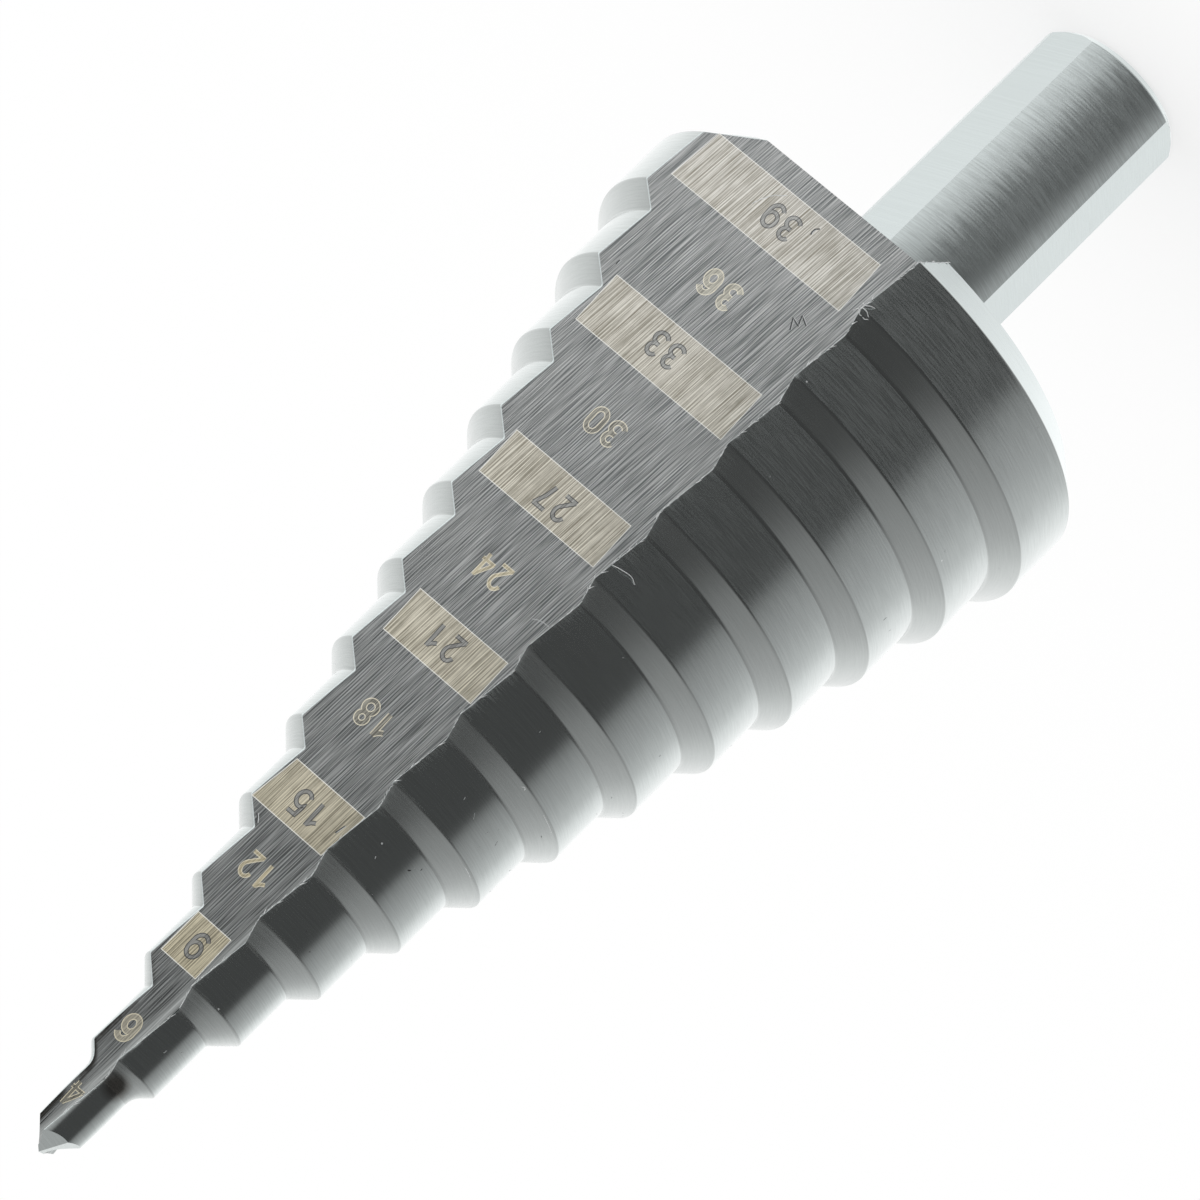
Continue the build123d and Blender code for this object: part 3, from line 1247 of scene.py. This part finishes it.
def metal_finish(name, colour, metallic, roughness):
    """Torn or sunken metal, uneven in tone."""
    finish = Finish(name, metallic)
    shade = tuple(c * 0.75 for c in colour) + (1,)
    patches = finish.group(tone, Spacing=0.4)
    tint = finish.blend(patches, shade, colour + (1,))
    return finish.set(Base_Color=tint, Roughness=roughness, Normal=finish.bump(patches, 0.004))


def ridge_line(start, end, height):
    """A line along a ridge of the steps, from one angle to another."""
    shares = [k / ridge_pieces for k in range(ridge_pieces + 1)]
    return [land_point(start + (end - start) * share, height) for share in shares]


def wear():
    """Burrs, curls, chips, pits, nicks and scratches, as the drill shows them after use, with painted
    highlights along two ridges and beside the nicks.
    """
    torn_and_highlight = metal_finish("torn_steel", (0.88, 0.90, 0.90), metallic=0.4, roughness=0.35)
    chipped = metal_finish("chipped_steel", (0.42, 0.44, 0.44), metallic=0.5, roughness=0.35)
    dark = metal_finish("sunken_steel", (0.035, 0.035, 0.037), metallic=0.3, roughness=0.5)
    sunken = metal_finish("nicked_steel", (0.115, 0.12, 0.122), metallic=0.5, roughness=0.45)
    grown_piece(
        "cutting_edge_burrs", line_mesh("cutting_edges", cutting_edges()), make_burr_tree(),
        Spacing=0.16 * mm, Share=0.6, Length=0.36 * mm, Thickness=0.03 * mm, Seed=3, Finish=torn_and_highlight)
    chip_tree = make_chip_tree()
    chip_pieces = (
        ("bright_chips", bright_chips + strays(), 5, chipped),
        ("dark_pits", dark_pits, 8, dark))
    for name, chips, seed, finish in chip_pieces:
        places = chip_places(name + "_places", chips)
        grown_piece(name, places, chip_tree, Size=chip_size * mm, Seed=seed, Finish=finish)
    hair_tree = make_hair_tree()
    # The curls are burrs. The ridge hairs are painted highlights.
    hair_pieces = (
        ("burr_curls", [[land_point(*place) for place in curl] for curl in curls], curl_radius),
        ("ridge_painted_highlights", [ridge_line(*ridge) for ridge in ridge_painted_highlights], ridge_highlight_radius))
    for name, lines, radius in hair_pieces:
        source = line_mesh(name + "_lines", lines)
        grown_piece(name, source, hair_tree, Thickness=radius * mm, Finish=torn_and_highlight)
    marks_on_wall = (
        ("wall_nicks", nicks, nick_width, (0.0, 0.0), sunken),
        # Beside each nick, a pale strip: a painted highlight.
        ("wall_nick_painted_highlights", nicks, nick_highlight_width, nick_highlight_shift, torn_and_highlight),
        ("wall_scratches", scratches, scratch_width, (0.0, 0.0), torn_and_highlight))
    for name, lines, width, shift, finish in marks_on_wall:
        made = MarkMesh(name, finish)
        for line in lines:
            shifted = [Vector(place) + Vector(shift) for place in line]
            made.stroke(finely_divided(shifted), width, nick_lift)
        made.finished()


wear()

# Camera
camera_place = Vector((12.25, 401.66, 178.01)) * mm
camera_aim = Vector((0.13, 0.0, 52.69)) * mm
camera_roll = -134.64
camera_lens = 187.91
camera_sensor = 36.0
scene = bpy.context.scene
camera_data = bpy.data.cameras.new("camera")
camera_data.lens = camera_lens
camera_data.sensor_width = camera_sensor
camera = linked("camera", camera_data)
camera.location = camera_place
camera.rotation_mode = "QUATERNION"
level = (camera_aim - camera_place).to_track_quat("-Z", "Y")
camera.rotation_quaternion = level @ Quaternion((0, 0, 1), math.radians(camera_roll))
scene.camera = camera

# Light: a white room for what is matt, and for what shines a tent that is dark round the lens
# and grows brighter away from it, sooner above and on the side that the numbered wall faces. The
# stops are angles from the lens, each with its brightness.
tent_stops = (
    (0, 0.08), (60, 0.08), (66, 0.10), (69, 0.18), (74, 0.29), (82, 0.385), (91, 0.46),
    (100, 0.53), (113, 0.68), (119, 0.73), (136, 1.06), (150, 1.18), (180, 1.18))
lens_azimuth = 88.25
lens_elevation = 16.4
near_side_start = 34.0
near_side_rise = 94.0
near_side_end = 40.0
near_side_power = 6.0
above_stretch = 0.12


def light_tent():
    world = bpy.data.worlds.new("light_tent")
    scene.world = world
    world.use_nodes = True
    world.node_tree.nodes.clear()
    graph = Graph(world.node_tree)
    lens_side = turned(lens_azimuth, math.cos(math.radians(lens_elevation))).to_3d()
    lens_side.z = math.sin(math.radians(lens_elevation))
    near_side = turned(lens_azimuth + 90).to_3d()
    ray = graph.add("ShaderNodeTexCoord", output="Generated")
    facing = graph.vector_math("DOT_PRODUCT", ray, lens_side, "Value")
    sideways = graph.vector_math("DOT_PRODUCT", ray, near_side, "Value")
    from_lens = graph.math("DEGREES", graph.math("ARCCOSINE", facing))
    above = graph.math("MAXIMUM", graph.part(ray, "Z"), 0.0)
    stretch = graph.math("MULTIPLY_ADD", above, above_stretch, 1.0)
    from_lens = graph.math("MULTIPLY", from_lens, stretch)
    from_side = graph.math("MULTIPLY_ADD", sideways, near_side_rise, near_side_start)
    far_round = graph.math("POWER", sideways, near_side_power)
    from_side = graph.math("MULTIPLY_ADD", far_round, near_side_end, from_side)
    share = graph.math("DIVIDE", graph.math("MAXIMUM", from_lens, from_side), 180)
    ramp = graph.add("ShaderNodeValToRGB", {"Fac": share})
    elements = ramp.node.color_ramp.elements
    elements.remove(elements[0])
    for i, (stop, value) in enumerate(tent_stops):
        element = elements.new(stop / 180) if i else elements[0]
        element.position = stop / 180
        element.color = (value, value, value, 1)
    shine = graph.add("ShaderNodeBackground", {"Color": ramp})
    plain = graph.add("ShaderNodeBackground", {"Color": (1, 1, 1, 1)})
    glossy = graph.add("ShaderNodeLightPath", output="Is Glossy Ray")
    light = graph.add("ShaderNodeMixShader", {0: glossy, 1: plain, 2: shine})
    graph.add("ShaderNodeOutputWorld", {"Surface": light})
    world.cycles.sampling_method = "NONE"


light_tent()

# Floor
floor_half = 1.5
floor_shadow = 0.3
floor_sides = ((-1, -1), (1, -1), (1, 1), (-1, 1))
floor_mesh = bpy.data.meshes.new("floor")
floor_mesh.from_pydata([(x * floor_half, y * floor_half, 0) for x, y in floor_sides], [], [range(4)])
floor = linked("floor", floor_mesh)


def floor_finish():
    """White, with a faint shadow: the camera sees most of it as plain white."""
    finish = Finish("floor_white", metallic=0.0)
    finish.set(Base_Color=(1, 1, 1, 1), Roughness=1.0, Specular_IOR_Level=0.0)
    plain = finish.add("ShaderNodeEmission", {"Color": (1, 1, 1, 1), "Strength": 1.0})
    camera_ray = finish.add("ShaderNodeLightPath", output="Is Camera Ray")
    share = finish.math("MULTIPLY", camera_ray, 1 - floor_shadow)
    seen = finish.add("ShaderNodeMixShader", {0: share, 1: finish.shader.outputs[0], 2: plain})
    finish.tree.links.new(seen, finish.tree.nodes["Material Output"].inputs["Surface"])
    return finish.material


floor_mesh.materials.append(floor_finish())
floor.visible_glossy = False

scene.view_settings.view_transform = "Standard"
